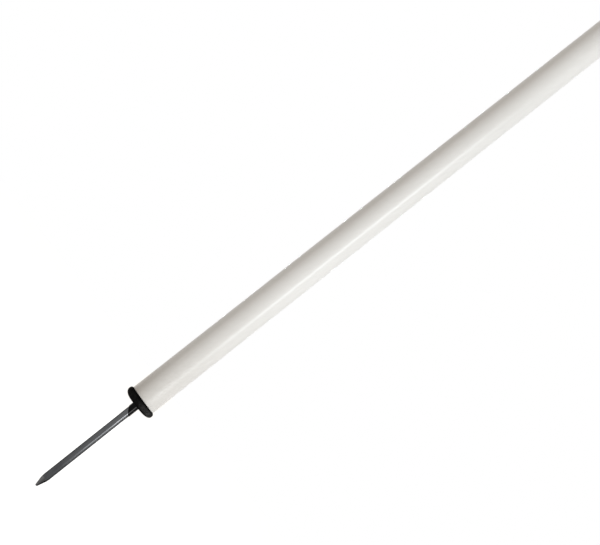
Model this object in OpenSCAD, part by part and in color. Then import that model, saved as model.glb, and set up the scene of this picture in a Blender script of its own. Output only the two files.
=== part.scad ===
// Sports-ground flag pole: a plastic tube on a domed foot plug with a steel ground spike.
// Millimetres, +Z up the pole, origin at the centre of the foot's flat ground face.

/* [Tube] */
// Outside diameter of the tube
tube_d = 25; // [20:0.5:40]
// Wall thickness of the tube
tube_wall = 2; // [1.2:0.1:3]
// Length of the tube
tube_len = 1500; // [600:10:1800]
// Bevel round the outside of both tube ends
tube_bevel = 0.3; // [0.1:0.1:1]

/* [Foot plug] */
// Thickness of the flange, from the ground face to the tube's end
flange_t = 7; // [6:0.1:12]
// Reach of the flange beyond the tube
flange_lip = 1.7; // [1:0.1:4]
// Height of the flange's widest line above the ground face
rim_z = 4.5; // [3:0.1:5.5]
// Width of the rounding between the widest line and the tube's end
crown_w = 2.4; // [1:0.1:4]
// Fullness of the rounded faces: 2 is an ellipse, more is squarer
face_bow = 2.3; // [2:0.1:4]
// Width of the flat ground face, a ring round the sleeve
ground_ring = 2; // [1:0.1:4]
// Length of the foot plug inside the tube
foot_shank_len = 30; // [20:1:60]

/* [Plug shanks] */
// Wall thickness of the hollow shanks
shank_wall = 1.8; // [1:0.1:2.5]
// Number of crush ribs round a shank
rib_n = 8; // [4:1:16]
// Height of a crush rib
rib_h = 0.5; // [0.2:0.1:1]
// Length of the lead-in taper at a shank's end
lead_in = 2; // [0.5:0.5:4]
// Clearance between the ribs and the tube's bore
shank_gap = 0.1; // [0.05:0.05:0.3]

/* [Spike boss] */
// Wall of the boss round the spike's root
boss_wall = 2.6; // [1.5:0.1:4]
// Plastic left above the spike's root
boss_cap = 2; // [1:0.5:4]
// Number of webs between the boss and the shank
web_n = 4; // [3:1:6]
// Thickness of a web
web_t = 1.6; // [1:0.1:2.5]

/* [Ground spike] */
// Diameter of the spike
spike_d = 6; // [5:0.5:8]
// Reach of the spike below the ground face
spike_len = 94; // [60:0.5:200]
// Length of the root held above the ground face
root_len = 28; // [15:1:40]
// Step from the spike's radius down to its root
root_step = 0.2; // [0.2:0.1:0.6]
// Clearance round the root in its socket
root_gap = 0.05; // [0.05:0.05:0.2]
// Length of the diamond point
point_len = 11; // [6:0.5:20]
// Width of the blunt tip
tip_w = 1.4; // [0.4:0.1:2]
// Turn of the point's edges about the pole
point_turn = 27; // [0:1:89]

/* [Spike sleeve] */
// Wall thickness of the sleeve
sleeve_wall = 0.55; // [0.4:0.05:1]
// Reach of the sleeve's long side below the ground face
sleeve_long = 9.2; // [4:0.1:20]
// Reach of the sleeve's short side below the ground face
sleeve_short = 3.2; // [0.3:0.1:4]
// Depth of the sleeve's seat in the foot plug
sleeve_seat = 2; // [1:0.5:4]
// Clearance inside and outside the sleeve
sleeve_gap = 0.05; // [0.05:0.05:0.2]
// Direction of the sleeve's long side about the pole
sleeve_turn = -22; // [-180:1:180]
// Distance from the sleeve's end to the spike's shoulder
sleeve_clear = 0.4; // [0.2:0.1:2]

/* [Top cap] */
// Height of the cap above the tube
cap_h = 6; // [4:0.5:15]
// How far the cap's head stands back from the tube's outside
cap_inset = 0.2; // [0.1:0.1:1]
// Radius of the small flat at the top of the cap
cap_flat = 2.5; // [1:0.5:6]
// Height of the straight edge under the dome
cap_edge = 1; // [0.5:0.1:1.8]
// Length of the cap inside the tube
cap_shank_len = 22; // [15:1:40]

/* [Hidden] */
$fn = 96;
// Overshoot of a cutting tool past the surface that it cuts
cut = 1;
// Straight steps that make up a rounded stretch of an outline
bow_steps = 18;
point_sides = 4;

tube_r = tube_d / 2;
bore_r = tube_r - tube_wall;
tube_top = flange_t + tube_len;

spike_r = spike_d / 2;
root_r = spike_r - root_step;
sleeve_bore_r = root_r + sleeve_gap;
sleeve_r = sleeve_bore_r + sleeve_wall;
sleeve_hole_r = sleeve_r + sleeve_gap;
shoulder_z = -sleeve_long - sleeve_clear;
facet_tilt = atan((spike_r - tip_w / 2) / point_len);

rim_r = tube_r + flange_lip;
ground_r = sleeve_hole_r + ground_ring;
rib_r = bore_r - shank_gap;
shank_r = rib_r - rib_h;
boss_r = root_r + root_gap + boss_wall;
boss_top = root_len + boss_cap;

cap_r = tube_r - cap_inset;

// Quarter of a superellipse about a centre, from a step in x of w to a step in z of h, without its
// first point: 2 is an ellipse, more is squarer
function quarter(centre, w, h, fullness) = [
    for (i = [1 : bow_steps])
        let (t = 90 * i / bow_steps, power = 2 / fullness)
        centre + [w * pow(cos(t), power), h * pow(sin(t), power)]
];

// Half outline of a round head, face down: flat in the middle, then bowed up to its widest line
function bowed_face(flat_r, wide_r, h) =
    let (bow = quarter([flat_r, h], wide_r - flat_r, -h, face_bow))
    concat([[0, 0]], [for (i = [1 : bow_steps]) bow[bow_steps - i]], [[wide_r, h]]);

// Hollow shank that pushes into the tube, standing on z = 0: a ribbed ring with a tapered end
module shank(len) {
    straight = len - lead_in;
    linear_extrude(straight) difference() {
        union() {
            circle(shank_r);
            for (i = [0 : rib_n - 1])
                rotate((i + 0.5) * 360 / rib_n) translate([shank_r, 0]) circle(rib_h);
        }
        circle(shank_r - shank_wall);
    }
    translate([0, 0, straight]) rotate_extrude() polygon([
        [shank_r - shank_wall, 0],
        [shank_r, 0],
        [shank_r - shank_wall / 2, lead_in],
        [shank_r - shank_wall, lead_in]
    ]);
}

module pole_tube() {
    color("#eeedea") rotate_extrude() polygon([
        [bore_r, flange_t],
        [tube_r - tube_bevel, flange_t],
        [tube_r, flange_t + tube_bevel],
        [tube_r, tube_top - tube_bevel],
        [tube_r - tube_bevel, tube_top],
        [bore_r, tube_top]
    ]);
}

// Domed flange under the tube's end
module flange() {
    rotate_extrude() polygon(concat(
        bowed_face(ground_r, rim_r, rim_z),
        quarter([rim_r - crown_w, rim_z], crown_w, flange_t - rim_z, face_bow),
        [[0, flange_t]]
    ));
}

// Boss round the spike's root, held by webs
module boss() {
    rise = boss_top - flange_t;
    translate([0, 0, flange_t]) {
        cylinder(h = rise, r = boss_r);
        for (i = [0 : web_n - 1])
            rotate(i * 360 / web_n) translate([0, -web_t / 2, 0])
                cube([shank_r - shank_wall / 2, web_t, rise]);
    }
}

module foot_plug() {
    color("#1c1c1d") difference() {
        union() {
            flange();
            translate([0, 0, flange_t]) shank(foot_shank_len);
            boss();
        }
        translate([0, 0, -cut]) cylinder(h = root_len + cut, r = root_r + root_gap);
        translate([0, 0, -cut]) cylinder(h = sleeve_seat + cut, r = sleeve_hole_r);
    }
}

// Height of the slanted mouth at a distance u towards the sleeve's long side
function mouth_z(u) = -(sleeve_long + sleeve_short + u / sleeve_r * (sleeve_long - sleeve_short)) / 2;

module spike_sleeve() {
    reach = sleeve_r + cut;
    color("#0d0d0e") difference() {
        translate([0, 0, -sleeve_long]) cylinder(h = sleeve_long + sleeve_seat, r = sleeve_r);
        translate([0, 0, -sleeve_long - cut])
            cylinder(h = sleeve_long + sleeve_seat + 2 * cut, r = sleeve_bore_r);
        rotate(sleeve_turn) rotate([90, 0, 0]) linear_extrude(2 * reach, center = true) polygon([
            [-reach, mouth_z(-reach)],
            [reach, mouth_z(reach)],
            [reach, mouth_z(reach) - cut],
            [-reach, mouth_z(reach) - cut]
        ]);
    }
}

module ground_spike() {
    color("#5d6063") difference() {
        rotate_extrude() polygon([
            [0, -spike_len],
            [spike_r, -spike_len],
            [spike_r, shoulder_z - root_step],
            [root_r, shoulder_z],
            [root_r, root_len],
            [0, root_len]
        ]);
        for (i = [0 : point_sides - 1])
            rotate(point_turn + (i + 0.5) * 360 / point_sides)
                translate([tip_w / 2, 0, -spike_len]) rotate([0, facet_tilt, 0])
                    translate([0, -spike_d, -spike_d]) cube([spike_d, 2 * spike_d, 2 * point_len]);
    }
}

module top_cap() {
    color("#1c1c1d") translate([0, 0, tube_top]) {
        translate([0, 0, cap_h]) mirror([0, 0, 1]) rotate_extrude() polygon(concat(
            bowed_face(cap_flat, cap_r, cap_h - cap_edge),
            [[cap_r, cap_h], [0, cap_h]]
        ));
        mirror([0, 0, 1]) shank(cap_shank_len);
    }
}

pole_tube();
foot_plug();
spike_sleeve();
ground_spike();
top_cap();
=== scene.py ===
# %% [markdown]
# A sports-ground flag pole, from its steel spike to its top cap.
# The pole is a white plastic tube on a domed black foot plug. A dark steel spike stands out of
# the plug, with a short glossy sleeve round its root, and pushes into the grass.
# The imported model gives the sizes. Its solids are true but coarse, so each piece is turned again
# here with a smooth skin and gets a finish of its own.

import math

import bpy
from mathutils import Matrix, Vector


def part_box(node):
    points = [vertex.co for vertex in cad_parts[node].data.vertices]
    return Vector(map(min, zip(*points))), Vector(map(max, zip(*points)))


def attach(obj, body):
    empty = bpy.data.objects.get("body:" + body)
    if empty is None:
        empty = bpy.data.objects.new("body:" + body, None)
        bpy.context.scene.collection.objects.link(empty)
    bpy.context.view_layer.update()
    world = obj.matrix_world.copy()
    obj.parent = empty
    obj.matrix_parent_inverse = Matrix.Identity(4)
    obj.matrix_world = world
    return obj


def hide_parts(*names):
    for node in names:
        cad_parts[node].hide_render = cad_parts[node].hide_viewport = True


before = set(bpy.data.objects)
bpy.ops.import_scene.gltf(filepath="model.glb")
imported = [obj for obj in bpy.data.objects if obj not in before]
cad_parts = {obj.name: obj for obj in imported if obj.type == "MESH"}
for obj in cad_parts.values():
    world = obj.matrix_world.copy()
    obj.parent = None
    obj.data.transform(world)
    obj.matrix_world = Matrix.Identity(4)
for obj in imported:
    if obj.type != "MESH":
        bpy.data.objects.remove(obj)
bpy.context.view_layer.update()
print("solids:", sorted(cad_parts))

# %% [markdown]
# Everything is measured from the solids where their boxes give it, so a pole that is packed at
# other sizes still fits. What a box can't give, such as the height of the flange's widest line,
# is written once, as a real size, where it is first needed.

# %% Sizes
MM = 0.001

tube_low, tube_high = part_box("pole_tube")
_, plug_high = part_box("foot_plug")
sleeve_low, sleeve_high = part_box("spike_sleeve")
spike_low, spike_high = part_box("ground_spike")
cap_low, cap_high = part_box("top_cap")

tube_r = tube_high.x
rim_r = plug_high.x
sleeve_r = sleeve_high.x
bar_r = spike_high.x
cap_r = cap_high.x
tube_length = tube_high.z - tube_low.z
print("tube", round(2 * tube_r / MM, 2), "mm across and", round(tube_length / MM), "mm long")

# %% [markdown]
# The pole is seen from its foot, from a little below and close by, so it grows thinner towards
# its far end. A camera could be aimed with a constraint, but the pole also runs aslant through
# the picture, so the camera's three axes are worked out from two angles: how far it looks up,
# and how far the pole leans in the picture.

# %% Camera
LENS_MM = 60
VIEW_DISTANCE = 0.796
LOOK_UP = math.radians(9.67)
POLE_SLOPE = math.radians(38.3)
AIM_ABOVE_TUBE_END = 157.8 * MM
AIM_SIDE = -2.27 * MM

look = Vector((0, math.cos(LOOK_UP), math.sin(LOOK_UP)))
up_pole = Vector((0, -math.sin(LOOK_UP), math.cos(LOOK_UP)))
side = Vector((1, 0, 0))
view_right = math.sin(POLE_SLOPE) * side + math.cos(POLE_SLOPE) * up_pole
view_up = -math.cos(POLE_SLOPE) * side + math.sin(POLE_SLOPE) * up_pole
aim = Vector((AIM_SIDE, 0, tube_low.z + AIM_ABOVE_TUBE_END))

bpy.ops.object.select_all(action="DESELECT")
bpy.ops.object.camera_add()
camera = bpy.context.object
camera.name = "camera"
camera.data.lens = LENS_MM
camera.matrix_world = (
    Matrix.Translation(aim - VIEW_DISTANCE * look)
    @ Matrix((view_right, view_up, -look)).transposed().to_4x4()
)
bpy.context.scene.camera = camera
print("camera at", [round(v, 3) for v in camera.matrix_world.translation])

# %% [markdown]
# Shader maths reads best as plain expressions. A Wire holds one output of a node: sums, products
# and powers of wires and numbers add Math nodes, and Wire.node adds a node of any other kind.

# %% Wires for shader maths
def feed(socket, value):
    """Links a wire to a socket, or sets a plain value on it."""
    if isinstance(value, Wire):
        socket.id_data.links.new(value.socket, socket)
    else:
        socket.default_value = value


class Wire:
    def __init__(self, socket):
        self.socket = socket
        self.tree = socket.id_data

    @classmethod
    def node(cls, tree, kind, settings=None, inputs=None, output=0):
        """Adds a node: its settings first, then the values or links of its sockets."""
        made = tree.nodes.new("ShaderNode" + kind)
        for name, value in (settings or {}).items():
            setattr(made, name, value)
        for name, value in (inputs or {}).items():
            feed(made.inputs[name], value)
        return cls(made.outputs[output])

    def math(self, operation, first, second):
        return Wire.node(self.tree, "Math", {"operation": operation}, {0: first, 1: second})

    def __add__(self, other):
        return self.math("ADD", self, other)

    def __radd__(self, other):
        return self.math("ADD", other, self)

    def __sub__(self, other):
        return self.math("SUBTRACT", self, other)

    def __rsub__(self, other):
        return self.math("SUBTRACT", other, self)

    def __mul__(self, other):
        return self.math("MULTIPLY", self, other)

    def __rmul__(self, other):
        return self.math("MULTIPLY", other, self)

    def __pow__(self, other):
        return self.math("POWER", self, other)

    def between(self, low, high):
        """0 below low, 1 above high, with a smooth way between them."""
        limits = {"Value": self, "From Min": low, "From Max": high}
        return Wire.node(self.tree, "MapRange", {"interpolation_type": "SMOOTHSTEP"}, limits)


print("wires are ready")

# %% [markdown]
# Every finish on the pole starts alike: a Principled shader, and the place of each point on the
# piece. Its patterns are solid noise, which has no seam on a round piece as a wrapped pattern
# would, and is stretched along the pole for lines and streaks.

# %% A finish to start from
class Finish:
    def __init__(self, name, constants):
        self.material = bpy.data.materials.new(name)
        self.material.use_nodes = True
        self.tree = self.material.node_tree
        self.shader = self.tree.nodes["Principled BSDF"]
        for socket, value in constants.items():
            self.set(socket, value)
        self.place = Wire.node(self.tree, "TexCoord", output="Object")
        self.x, self.y, self.z = (
            Wire.node(self.tree, "SeparateXYZ", inputs={0: self.place}, output=axis) for axis in "XYZ"
        )

    def set(self, socket, value):
        feed(self.shader.inputs[socket], value)

    def radius(self):
        """Distance from the pole's axis."""
        return (self.x * self.x + self.y * self.y) ** 0.5

    def noise(self, across, along, detail=2.0, roughness=0.5):
        """Noise with so many features to the metre across the pole and along it."""
        scales = {0: self.place, 1: (across, across, along)}
        stretched = Wire.node(self.tree, "VectorMath", {"operation": "MULTIPLY"}, scales)
        grain = {"Vector": stretched, "Scale": 1.0, "Detail": detail, "Roughness": roughness}
        return Wire.node(self.tree, "TexNoise", {"noise_dimensions": "3D"}, grain)

    def blend(self, factor, first, second):
        """Mixes two colours."""
        colours = {0: factor, 6: first, 7: second}
        return Wire.node(self.tree, "Mix", {"data_type": "RGBA"}, colours, output=2)

    def bump(self, height, distance):
        self.set("Normal", Wire.node(self.tree, "Bump", {}, {"Height": height, "Distance": distance}))


print("finishes are ready to be mixed")

# %% [markdown]
# A round piece is turned from half of its outline. The outline is drawn as a chain of points,
# each pulled out of the one before, and the chain is spun about the pole's axis. The spin leaves
# a seam and doubled points on the axis, so doubles are merged, and then all faces are turned
# outwards.

# %% Turning a piece
ROUND_STEPS = 128
DOUBLE_UNDER = 0.002 * MM


def turn(name, outline):
    """A round piece from half of its outline, a list of (radius, height)."""
    bpy.ops.object.select_all(action="DESELECT")
    points = [Vector((radius, 0, height)) for radius, height in outline]
    bpy.ops.mesh.primitive_plane_add(size=MM, location=points[0])
    piece = bpy.context.object
    piece.name = name
    piece.data.name = name
    bpy.ops.object.transform_apply(location=True)
    bpy.ops.object.mode_set(mode="EDIT")
    bpy.ops.mesh.select_mode(type="VERT")
    bpy.ops.mesh.select_all(action="SELECT")
    bpy.ops.mesh.merge(type="CENTER")
    for start, end in zip(points, points[1:]):
        bpy.ops.mesh.extrude_vertices_move(TRANSFORM_OT_translate={"value": end - start})
    bpy.ops.mesh.select_all(action="SELECT")
    bpy.ops.mesh.spin(steps=ROUND_STEPS, angle=math.tau, center=(0, 0, 0), axis=(0, 0, 1))
    bpy.ops.mesh.select_all(action="SELECT")
    bpy.ops.mesh.remove_doubles(threshold=DOUBLE_UNDER)
    bpy.ops.mesh.normals_make_consistent(inside=False)
    bpy.ops.object.mode_set(mode="OBJECT")
    return piece


def quarter(centre, width, rise, fullness, steps):
    """A quarter of a superellipse, from its side to its top. 2 is an ellipse, more is squarer."""
    points = []
    for i in range(steps + 1):
        angle = math.pi / 2 * i / steps
        out = max(math.cos(angle), 0) ** (2 / fullness)
        up = max(math.sin(angle), 0) ** (2 / fullness)
        points.append((centre[0] + width * out, centre[1] + rise * up))
    return points


def rings(low, high, count):
    """Evenly spaced heights, which keep the faces of a long piece from becoming needles."""
    return [low + (high - low) * i / count for i in range(count + 1)]


print("turned pieces have", ROUND_STEPS, "sides")

# %% [markdown]
# Turned pieces are finished with a few hand tools. A tube is sawn with bisect, and the two open
# edges of its wall are bridged, because filling the cut would also close the bore. Sharp edges
# are softened with a Bevel modifier, since no real edge is perfectly sharp and a softened one
# catches the light.

# %% Hand tools
EDGE_STEPS = 3
SHARP = math.radians(40)
SMOOTH = math.radians(35)


def take(piece):
    """Selects one piece alone, for the next operators."""
    bpy.ops.object.select_all(action="DESELECT")
    piece.select_set(True)
    bpy.context.view_layer.objects.active = piece


def saw_off(piece, place, outwards):
    """Saws a tube with a plane, drops what lies outwards of it and closes the wall."""
    take(piece)
    bpy.ops.object.mode_set(mode="EDIT")
    bpy.ops.mesh.select_all(action="SELECT")
    bpy.ops.mesh.bisect(plane_co=place, plane_no=outwards, clear_outer=True)
    bpy.ops.mesh.select_mode(type="EDGE")
    bpy.ops.mesh.select_all(action="DESELECT")
    bpy.ops.mesh.select_non_manifold()
    bpy.ops.mesh.bridge_edge_loops()
    bpy.ops.mesh.select_all(action="SELECT")
    bpy.ops.mesh.normals_make_consistent(inside=False)
    bpy.ops.object.mode_set(mode="OBJECT")


def soften(piece, width, sharper_than=SHARP):
    """Rounds the edges of a piece that bend by more than an angle."""
    take(piece)
    edge = piece.modifiers.new("edge", "BEVEL")
    edge.width = width
    edge.segments = EDGE_STEPS
    edge.limit_method = "ANGLE"
    edge.angle_limit = sharper_than
    bpy.ops.object.modifier_apply(modifier=edge.name)


def stand_for(piece, node, finish, smooth_under=SMOOTH):
    """Smooths a finished piece, gives it its finish and lets it stand for a solid of the frame."""
    take(piece)
    bpy.ops.object.shade_smooth_by_angle(angle=smooth_under)
    piece.data.materials.clear()
    piece.data.materials.append(finish.material)
    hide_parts(node)
    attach(piece, "root")
    print(piece.name, "has", len(piece.data.polygons), "faces")


print("hand tools are ready")

# %% [markdown]
# The tube is extruded white plastic. A cylinder would do for the outside, but the tube is hollow,
# so the whole wall is turned: up the outside and down the bore. Its foot end was sawn a little
# out of square.

# %% Tube
TUBE_WALL = 2 * MM
TUBE_EDGE = 0.3 * MM
TUBE_RINGS = 60
SAW_SKEW = math.radians(1.9)
SAW_SPARE = 1 * MM

bore_r = tube_r - TUBE_WALL
ring_heights = rings(tube_low.z - SAW_SPARE, tube_high.z, TUBE_RINGS)
outside = [(tube_r, z) for z in ring_heights]
bore = [(bore_r, z) for z in reversed(ring_heights)]
tube = turn("tube", outside + bore + outside[:1])

saw_down = -Vector((math.sin(SAW_SKEW), 0, math.cos(SAW_SKEW)))
saw_off(tube, Vector((0, 0, tube_low.z)), saw_down)
soften(tube, TUBE_EDGE)
print("sawn end out of square by", round(2 * tube_r * math.tan(SAW_SKEW) / MM, 2), "mm")

# %% [markdown]
# The white of the tube is warm and even, with the soft sheen of extruded plastic. The die leaves
# faint lines along it. The foot end, which is handled and knocked most, has thin scuffs, and the
# white darkens a little towards the foot. One side near the foot is darkened further with painted
# shade. Lines, clouds and scuffs are all noise that is stretched along the pole.

# %% White plastic
WHITE = (0.86, 0.845, 0.82, 1)
WHITE_SHADE = (0.60, 0.572, 0.532, 1)
SCUFF_GREY = (0.52, 0.50, 0.47, 1)
HANDLED_TO = 90 * MM
DARKENING_FROM = -30 * MM
DARKENING_TO = 180 * MM
SIDE_SHADE_FROM = 5 * MM
SIDE_SHADE_TO = 50 * MM
LINE_DEPTH = 0.02 * MM

white_plastic = Finish("white_plastic", {"Specular IOR Level": 0.46})
cloud = white_plastic.noise(60, 9, detail=3)
lines = white_plastic.noise(900, 2.5)
scuffs = white_plastic.noise(420, 70, detail=4, roughness=0.65).between(0.66, 0.74)
near_foot = 1 - white_plastic.z.between(0, HANDLED_TO)
worn = scuffs * (0.12 + 0.5 * near_foot)
# The white darkens towards the foot, unevenly.
foot_darkening = (1 - white_plastic.z.between(DARKENING_FROM, DARKENING_TO)) * (0.6 + 0.4 * cloud)
# Painted shade: the -X side of the tube near the foot is darkened.
shaded_side = 1 - white_plastic.x.between(-tube_r, 0.5 * tube_r)
painted_side_shade = shaded_side * (1 - white_plastic.z.between(SIDE_SHADE_FROM, SIDE_SHADE_TO))
# Random cloudy tone, the darkening towards the foot and the painted side shade, mixed into the white.
tone_and_shade = 0.1 * cloud.between(0.35, 0.7) + 0.5 * foot_darkening + 0.45 * painted_side_shade
white = white_plastic.blend(tone_and_shade, WHITE, WHITE_SHADE)
white_plastic.set("Base Color", white_plastic.blend(worn, white, SCUFF_GREY))
white_plastic.set("Roughness", 0.27 + 0.02 * lines + 0.1 * worn)
white_plastic.bump(lines - 0.3 * worn, LINE_DEPTH)
stand_for(tube, "pole_tube", white_plastic)

# %% [markdown]
# The foot plug is one moulding: a domed flange that stops at the ground, and a hollow shank
# inside the tube with a boss for the spike. The flange's underside is flat round the sleeve and
# then bows up to its widest line, fuller than an ellipse, so its outline is a superellipse.

# %% Foot plug
RIM_HEIGHT = 4.5 * MM
CROWN_WIDTH = 2.4 * MM
FACE_BOW = 2.3
FACE_STEPS = 28
CROWN_STEPS = 14
GROUND_RING = 2 * MM
SEAT_GAP = 0.05 * MM
ROOT_R = 2.8 * MM
BOSS_WALL = 2.6 * MM
BOSS_CAP = 2 * MM
FILLET = 0.3 * MM

flange_t = tube_low.z
seat_r = sleeve_r + SEAT_GAP
ground_r = seat_r + GROUND_RING
socket_r = ROOT_R + SEAT_GAP
boss_r = socket_r + BOSS_WALL
boss_top = spike_high.z + BOSS_CAP
crown_r = rim_r - CROWN_WIDTH

socket = [(0, spike_high.z), (socket_r, spike_high.z), (socket_r, sleeve_high.z)]
seat = [(seat_r, sleeve_high.z), (seat_r, 0)]
underside = quarter((ground_r, RIM_HEIGHT), rim_r - ground_r, -RIM_HEIGHT, FACE_BOW, FACE_STEPS)[::-1]
crown = quarter((crown_r, RIM_HEIGHT), CROWN_WIDTH, flange_t - RIM_HEIGHT, FACE_BOW, CROWN_STEPS)[1:]
boss = [(boss_r + FILLET, flange_t), (boss_r, flange_t + FILLET), (boss_r, boss_top), (0, boss_top)]
print("flange", round(2 * rim_r / MM, 1), "mm across and", round(flange_t / MM, 1), "mm thick")

# %% [markdown]
# The shank is a thin ring with a tapered end, so that it starts easily in the tube. Both plugs
# have one, so its outline is a function.

# %% Shank
SHANK_R = 9.9 * MM
SHANK_WALL = 1.8 * MM
LEAD_IN = 2 * MM


def shank(root, end):
    """Half outline of a shank, from its root along the outside to its end, and back inside."""
    way = math.copysign(1, end - root)
    return [
        (SHANK_R + FILLET, root),
        (SHANK_R, root + way * FILLET),
        (SHANK_R, end - way * LEAD_IN),
        (SHANK_R - SHANK_WALL / 2, end),
        (SHANK_R - SHANK_WALL, end),
        (SHANK_R - SHANK_WALL, root),
    ]


plug = turn(
    "foot_plug_moulding",
    socket + seat + underside + crown + shank(flange_t, plug_high.z) + boss,
)
print("shank", round((plug_high.z - flange_t) / MM), "mm long")

# %% [markdown]
# Ribs along the shank grip the tube's bore, and webs hold the boss. Both are pulled straight out
# of a turned wall: a few faces side by side are picked by their direction at each place, and
# moved outwards as an extrusion.

# %% Ribs and webs
RIB_COUNT = 8
RIB_HEIGHT = 0.5 * MM
RIB_WIDTH = 1 * MM
WEB_COUNT = 4
WEB_WIDTH = 1.6 * MM
WEB_GAP = 0.05 * MM
WALL_SLACK = 0.01 * MM
UPRIGHT_UNDER = 0.01


def pull_out(piece, wall_r, count, width, reach):
    """Pulls strips out of a round wall of a piece. The first strip is half a pitch from +X."""
    take(piece)
    bpy.ops.object.mode_set(mode="EDIT")
    bpy.ops.mesh.select_mode(type="FACE")
    bpy.ops.mesh.select_all(action="DESELECT")
    bpy.ops.object.mode_set(mode="OBJECT")
    pitch = math.tau / count
    picked = 0
    for face in piece.data.polygons:
        spot = Vector((face.center.x, face.center.y, 0))
        upright = abs(face.normal.z) < UPRIGHT_UNDER
        on_wall = abs(spot.length - wall_r) < WALL_SLACK and face.normal.dot(spot) > 0
        turned = math.atan2(spot.y, spot.x) % pitch - pitch / 2
        face.select = upright and on_wall and abs(turned) * wall_r < width / 2
        picked += face.select
    bpy.ops.object.mode_set(mode="EDIT")
    bpy.ops.mesh.extrude_region_shrink_fatten(TRANSFORM_OT_shrink_fatten={"value": reach})
    bpy.ops.object.mode_set(mode="OBJECT")
    print(piece.name, "has", count, "strips from", picked, "faces")


pull_out(plug, SHANK_R, RIB_COUNT, RIB_WIDTH, RIB_HEIGHT)
pull_out(plug, boss_r, WEB_COUNT, WEB_WIDTH, SHANK_R - SHANK_WALL - boss_r - WEB_GAP)

# %% [markdown]
# The flange is pushed up against the tube's crooked end, so it sits as crooked as that: one side
# a little up and the other a little down, but with its ground face still level. A lattice does
# this without touching the outline. Its corners at one end stay, and those at the other end move.

# %% Seat the flange on the sawn end
def tilt_end(piece, level, tilted, reach, slope, turned=0):
    """Shears a piece: level at one height, and falling by a slope towards one side at another."""
    depth = abs(tilted - level)
    middle = (0, 0, (tilted + level) / 2)
    bpy.ops.object.select_all(action="DESELECT")
    bpy.ops.object.add(type="LATTICE", location=middle, rotation=(0, 0, turned))
    cage = bpy.context.object
    cage.scale = (2 * reach, 2 * reach, depth)
    cage.data.interpolation_type_u = "KEY_LINEAR"
    cage.data.interpolation_type_v = "KEY_LINEAR"
    cage.data.interpolation_type_w = "KEY_LINEAR"
    for corner in cage.data.points:
        if corner.co.z * (tilted - level) > 0:
            corner.co_deform.z -= slope * corner.co.x * 2 * reach / depth
    take(piece)
    crooked = piece.modifiers.new("crooked", "LATTICE")
    crooked.object = cage
    bpy.ops.object.modifier_apply(modifier=crooked.name)
    bpy.data.objects.remove(cage)


tilt_end(plug, level=0, tilted=RIM_HEIGHT, reach=rim_r, slope=math.tan(SAW_SKEW))
print("flange", round(rim_r * math.tan(SAW_SKEW) / MM, 2), "mm up on one side and down on the other")

# %% [markdown]
# The plugs' plastic is black and dull, with the fine grain of a plain mould. The rim is rubbed
# greyer and smoother in patches, and a painted sheen makes it greyer still on its lit +X side. The
# grain is a fine noise in the bump, and the rub a coarser one in the colour and the roughness.

# %% Black moulded plastic
BLACK = (0.0012, 0.0011, 0.0011, 1)
RUB_AND_SHEEN_GREY = (0.062, 0.060, 0.059, 1)
GRAIN_DEPTH = 0.05 * MM

moulded_black = Finish("moulded_black", {"Specular IOR Level": 0.018})
grain = moulded_black.noise(2600, 2600, detail=3)
mottle = moulded_black.noise(420, 420, detail=4, roughness=0.6)
under_tube = moulded_black.z.between(RIM_HEIGHT, 0.95 * flange_t)
on_rim = moulded_black.radius().between(0.8 * rim_r, 0.96 * rim_r) * (1 - under_tube)
# Painted light: the rim is made greyer towards its lit +X side.
painted_lit_side = 0.2 + 0.8 * moulded_black.x.between(-0.2 * rim_r, 0.9 * rim_r)
rub_and_sheen = on_rim * painted_lit_side * (0.3 + 0.7 * mottle.between(0.3, 0.7))
moulded_black.set("Base Color", moulded_black.blend(0.03 * mottle + 0.8 * rub_and_sheen, BLACK, RUB_AND_SHEEN_GREY))
moulded_black.set("Roughness", 0.74 + 0.16 * grain - 0.12 * rub_and_sheen)
moulded_black.bump(grain + 0.4 * mottle, GRAIN_DEPTH)
stand_for(plug, "foot_plug", moulded_black)

# %% [markdown]
# The spike is a drawn steel bar. Its upper end is turned down a little where the plug holds it.
# The point is ground: four flat facets meet at a small blunt tip. Each facet is one cut with
# bisect, which keeps the bar above the cut and closes it. The plug doesn't hold the spike quite
# in line with the tube, so the finished spike is turned by a fifth of a degree.

# %% Ground spike
SHOULDER_GAP = 0.4 * MM
ROOT_STEP = 0.2 * MM
POINT_LENGTH = 11 * MM
TIP_WIDTH = 1.4 * MM
POINT_SIDES = 4
POINT_TURN = math.radians(27)
BAR_RINGS = 20
RING_MARGIN = 1 * MM
SPIKE_EDGE = 0.1 * MM
FACET_SHARP = math.radians(25)
SPIKE_ASKEW = math.radians(0.2)

shoulder = sleeve_high.z - SHOULDER_GAP
point_top = spike_low.z + POINT_LENGTH
end = [(0, spike_low.z), (bar_r, spike_low.z)]
bar = [(bar_r, z) for z in rings(point_top + RING_MARGIN, shoulder - ROOT_STEP, BAR_RINGS)]
root = [(ROOT_R, shoulder), (ROOT_R, spike_high.z), (0, spike_high.z)]
spike = turn("ground_spike_bar", end + bar + root)


def grind(piece, place, outwards):
    """Grinds a solid bar flat along a plane. What lies outwards of the plane goes."""
    take(piece)
    bpy.ops.object.mode_set(mode="EDIT")
    bpy.ops.mesh.select_all(action="SELECT")
    bpy.ops.mesh.bisect(plane_co=place, plane_no=outwards, use_fill=True, clear_outer=True)
    bpy.ops.object.mode_set(mode="OBJECT")


def set_askew(piece):
    """Turns a piece by a hair, about a point a third of the way down the spike."""
    take(piece)
    pivot = (0, 0, spike_low.z / 3)
    bpy.ops.transform.rotate(value=SPIKE_ASKEW, orient_axis="Y", center_override=pivot)
    bpy.ops.object.transform_apply(location=True, rotation=True)


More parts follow.
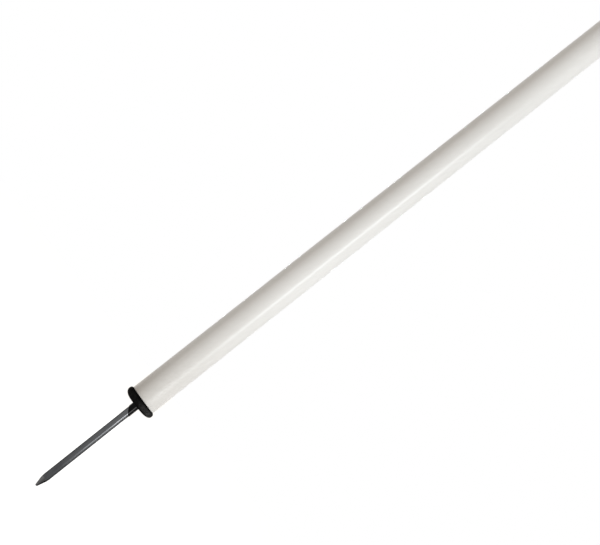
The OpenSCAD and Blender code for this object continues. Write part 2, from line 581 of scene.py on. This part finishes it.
lean = math.atan((bar_r - TIP_WIDTH / 2) / POINT_LENGTH)
for i in range(POINT_SIDES):
    angle = POINT_TURN + (i + 0.5) * math.tau / POINT_SIDES
    out = Vector((math.cos(angle), math.sin(angle), 0))
    facet_foot = TIP_WIDTH / 2 * out + Vector((0, 0, spike_low.z))
    grind(spike, facet_foot, math.cos(lean) * out - Vector((0, 0, math.sin(lean))))
soften(spike, SPIKE_EDGE, FACET_SHARP)
set_askew(spike)
print("point leans in by", round(math.degrees(lean), 1), "degrees")

# %% [markdown]
# Drawn steel is dark and bluish, with fine lines along the bar that stretch a reflection into a
# streak. It darkens towards the ground end. The point has no drawing lines. It is rougher and a
# little brighter, and one side of it is darkened with painted shade. A metal's reflection grows
# white where it is seen edge on, but a bar with a thin oxide skin stays dark there, so its edge
# tint is dark.

# %% Dark steel
STEEL = (0.112, 0.115, 0.120, 1)
STEEL_DARK = (0.052, 0.054, 0.057, 1)
STEEL_GROUND = (0.118, 0.118, 0.120, 1)
STEEL_POINT_SHADE = (0.036, 0.035, 0.034, 1)
STEEL_EDGE = (0.06, 0.06, 0.065, 1)
LINES_FADE = 2 * MM
LINES_END = 3.2 * MM
DRAWN_DEPTH = 0.015 * MM
FACET_SMOOTH = math.radians(8)

dark_steel = Finish("dark_steel", {"Metallic": 1.0, "Specular Tint": STEEL_EDGE})
drawn = dark_steel.noise(1800, 14, detail=3)
patches = dark_steel.noise(260, 60, detail=4, roughness=0.6)
on_point = 1 - dark_steel.z.between(point_top - LINES_END, point_top - LINES_FADE)
low_down = 1 - dark_steel.z.between(spike_low.z, shoulder)
stain = 0.3 * patches.between(0.35, 0.7) + 0.25 * drawn + 0.75 * low_down
steel = dark_steel.blend(stain, STEEL, STEEL_DARK)
# Painted shade: the point's facets on the +X side are darkened.
painted_point_shade = dark_steel.x.between(-0.5 * bar_r, 0.5 * bar_r) * (0.7 + 0.3 * patches)
point = dark_steel.blend(painted_point_shade, STEEL_GROUND, STEEL_POINT_SHADE)
dark_steel.set("Base Color", dark_steel.blend(on_point, steel, point))
dark_steel.set("Roughness", 0.14 + 0.06 * drawn + 0.22 * on_point)
dark_steel.bump(drawn * (1 - 0.7 * on_point) + 0.2 * patches, DRAWN_DEPTH)
stand_for(spike, "ground_spike", dark_steel, smooth_under=FACET_SMOOTH)

# %% [markdown]
# The sleeve is a thin tube round the spike's root, cut off on a slant, so that its long side
# reaches nearly three times as far down the spike as its short side. A saw cut this steep would
# leave slivers where it crosses the rings. So the sleeve is turned straight, its lower end is
# tilted like the flange, and then it is turned with the spike.

# %% Sleeve
SLEEVE_SHORT = 3.2 * MM
SLEEVE_WALL = 0.35 * MM
SLEEVE_TURN = math.radians(-22)
SLEEVE_RINGS = 16
SLEEVE_EDGE = 0.12 * MM

sleeve_in = sleeve_r - SLEEVE_WALL
mouth = (sleeve_low.z - SLEEVE_SHORT) / 2
fall = (-SLEEVE_SHORT - sleeve_low.z) / (2 * sleeve_r)
ring_heights = rings(mouth, sleeve_high.z, SLEEVE_RINGS)
outside = [(sleeve_r, z) for z in ring_heights]
bore = [(sleeve_in, z) for z in reversed(ring_heights)]
sleeve = turn("spike_sleeve_ring", outside + bore + outside[:1])
tilt_end(sleeve, level=0, tilted=mouth, reach=sleeve_r, slope=fall, turned=SLEEVE_TURN)
soften(sleeve, SLEEVE_EDGE)
set_askew(sleeve)
print("sleeve mouth slants by", round(math.degrees(math.atan(fall))), "degrees")

# %% [markdown]
# The sleeve is the blackest piece and the only glossy one at the foot. It has been shrunk or
# dipped on, so its gloss is a little wavy.

# %% Glossy black
GLOSS_BLACK = (0.0004, 0.0004, 0.0004, 1)
GLOSS_DUST = (0.0015, 0.0015, 0.0017, 1)
WAVE_DEPTH = 0.008 * MM

glossy_black = Finish("glossy_black", {"Specular IOR Level": 0.08})
waves = glossy_black.noise(520, 160)
specks = glossy_black.noise(3000, 3000, detail=3)
dusted = specks.between(0.5, 0.75)
glossy_black.set("Base Color", glossy_black.blend(dusted, GLOSS_BLACK, GLOSS_DUST))
glossy_black.set("Roughness", 0.05 + 0.04 * specks)
glossy_black.bump(waves, WAVE_DEPTH)
stand_for(sleeve, "spike_sleeve", glossy_black)

# %% [markdown]
# The top cap closes the tube's other end. It is the same kind of moulding as the foot plug, with
# a low dome that ends in a short straight edge on the tube.

# %% Top cap
CAP_FLAT_R = 2.5 * MM
CAP_EDGE = 1 * MM

cap_seat = tube_high.z
dome_foot = cap_seat + CAP_EDGE
dome = quarter((CAP_FLAT_R, dome_foot), cap_r - CAP_FLAT_R, cap_high.z - dome_foot, FACE_BOW, FACE_STEPS)
cap_shank = shank(cap_seat, cap_low.z)[::-1]
cap = turn(
    "top_cap_moulding",
    [(0, cap_seat)] + cap_shank + [(cap_r, cap_seat)] + dome + [(0, cap_high.z)],
)
pull_out(cap, SHANK_R, RIB_COUNT, RIB_WIDTH, RIB_HEIGHT)
stand_for(cap, "top_cap", moulded_black)

# %% [markdown]
# The studio is plain: a pale floor just under the spike's tip and a white world. The camera, and
# the pieces' own reflections, see the world as white. As light on the pole it is only about half
# as strong, so that the lamps can model the round tube.

# %% World
AMBIENT = (0.47, 0.436, 0.398, 1)
SEEN_WHITE = (1, 1, 1, 1)

world = bpy.data.worlds.new("studio")
bpy.context.scene.world = world
world.use_nodes = True


def by_ray(tree, falling, seen):
    """One colour for light that falls on a surface, and another for what is looked at."""
    kinds = ("Is Camera Ray", "Is Glossy Ray", "Is Transmission Ray")
    camera_ray, glossy_ray, through_ray = (
        Wire.node(tree, "LightPath", output=kind) for kind in kinds
    )
    mirrored = camera_ray.math("MAXIMUM", glossy_ray, through_ray)
    looked_at = camera_ray.math("MAXIMUM", camera_ray, mirrored)
    colours = {0: looked_at, 6: falling, 7: seen}
    return Wire.node(tree, "Mix", {"data_type": "RGBA"}, colours, output=2)


sky = world.node_tree.nodes["Background"]
feed(sky.inputs["Color"], by_ray(world.node_tree, AMBIENT, SEEN_WHITE))
bpy.context.scene.view_settings.view_transform = "Standard"
print("world at", AMBIENT[0])

# %% [markdown]
# The floor is white paper. It catches the pole's faint shadow as a real one does, and a glow that
# only the camera and reflections see lifts it to the white of the world behind it.

# %% Floor
FLOOR_GAP = 0.5 * MM
FLOOR_SIZE = 30
FLOOR_GLOW = 0.68
PAPER = (0.8, 0.8, 0.8, 1)
NO_GLOW = (0, 0, 0, 1)

bpy.ops.object.select_all(action="DESELECT")
bpy.ops.mesh.primitive_plane_add(size=FLOOR_SIZE, location=(0, 0, spike_low.z - FLOOR_GAP))
floor = bpy.context.object
floor.name = "floor"
paper = Finish(
    "floor_paper",
    {
        "Base Color": PAPER,
        "Roughness": 1.0,
        "Specular IOR Level": 0.0,
        "Emission Strength": FLOOR_GLOW,
    },
)
paper.set("Emission Color", by_ray(paper.tree, NO_GLOW, SEEN_WHITE))
floor.data.materials.append(paper.material)
print("floor at", round(floor.location.z, 4))

# %% [markdown]
# A tall narrow softbox to the right of the camera draws the bright line along the tube, and a
# small one near the ground the one along the spike. The sleeve's gloss is weak, so a low, bright
# card stands where only the sleeve mirrors it. A broad lamp beside them shades the tube softly
# from right to left, and another, further round, keeps the right edge bright. One behind the
# pole gives the far side its form. An area lamp's power is worked out from how bright its face
# should look, where 1 is as bright as white paper.
# The two dimmest lamps don't show in the gloss. Only the lamps that the steel and the sleeve
# mirror sharply are also sampled by reflections, because sampling them all in that way leaves
# grain on the white tube.

# %% Lamps
LAMP_TINT = (0.88, 0.95, 1.0)
NEUTRAL = (1, 1, 1)
SHOWS_IN_GLOSS = 1
SHOWS_SHARPLY = 2.5
KEY_SIDE = 43


def softbox(name, turned, away, width, height, middle, brightness, tint=LAMP_TINT):
    """A rectangular lamp that faces the pole, turned from the camera's side towards +X."""
    angle = math.radians(turned)
    out = Vector((math.sin(angle), -math.cos(angle), 0))
    bpy.ops.object.light_add(type="AREA", location=away * out + Vector((0, 0, middle)))
    lamp = bpy.context.object
    lamp.name = name
    lamp.data.shape = "RECTANGLE"
    lamp.data.size = width
    lamp.data.size_y = height
    lamp.data.energy = brightness * math.pi * width * height
    lamp.data.color = tint
    lamp.visible_camera = False
    lamp.visible_glossy = brightness > SHOWS_IN_GLOSS
    lamp.data.cycles.use_multiple_importance_sampling = brightness > SHOWS_SHARPLY
    lamp.rotation_euler = out.to_track_quat("Z", "Y").to_euler()
    print(name, "gives", round(lamp.data.energy, 2), "W")


softbox("key_strip", turned=KEY_SIDE, away=1.2, width=0.14, height=0.72, middle=0.48, brightness=18.1)
softbox(
    "foot_strip",
    turned=KEY_SIDE,
    away=0.4,
    width=0.2,
    height=0.115,
    middle=-0.0395,
    brightness=2.52,
    tint=NEUTRAL,
)
softbox(
    "low_card",
    turned=KEY_SIDE,
    away=1.2,
    width=0.55,
    height=0.03,
    middle=-0.0545,
    brightness=12,
    tint=NEUTRAL,
)
softbox("broad_light", turned=25, away=2.0, width=1.0, height=1.8, middle=0.7, brightness=0.5)
softbox("side_light", turned=105, away=1.8, width=1.0, height=1.6, middle=0.7, brightness=0.3)
softbox("back_light", turned=180, away=1.5, width=0.8, height=1.3, middle=0.85, brightness=2.2)
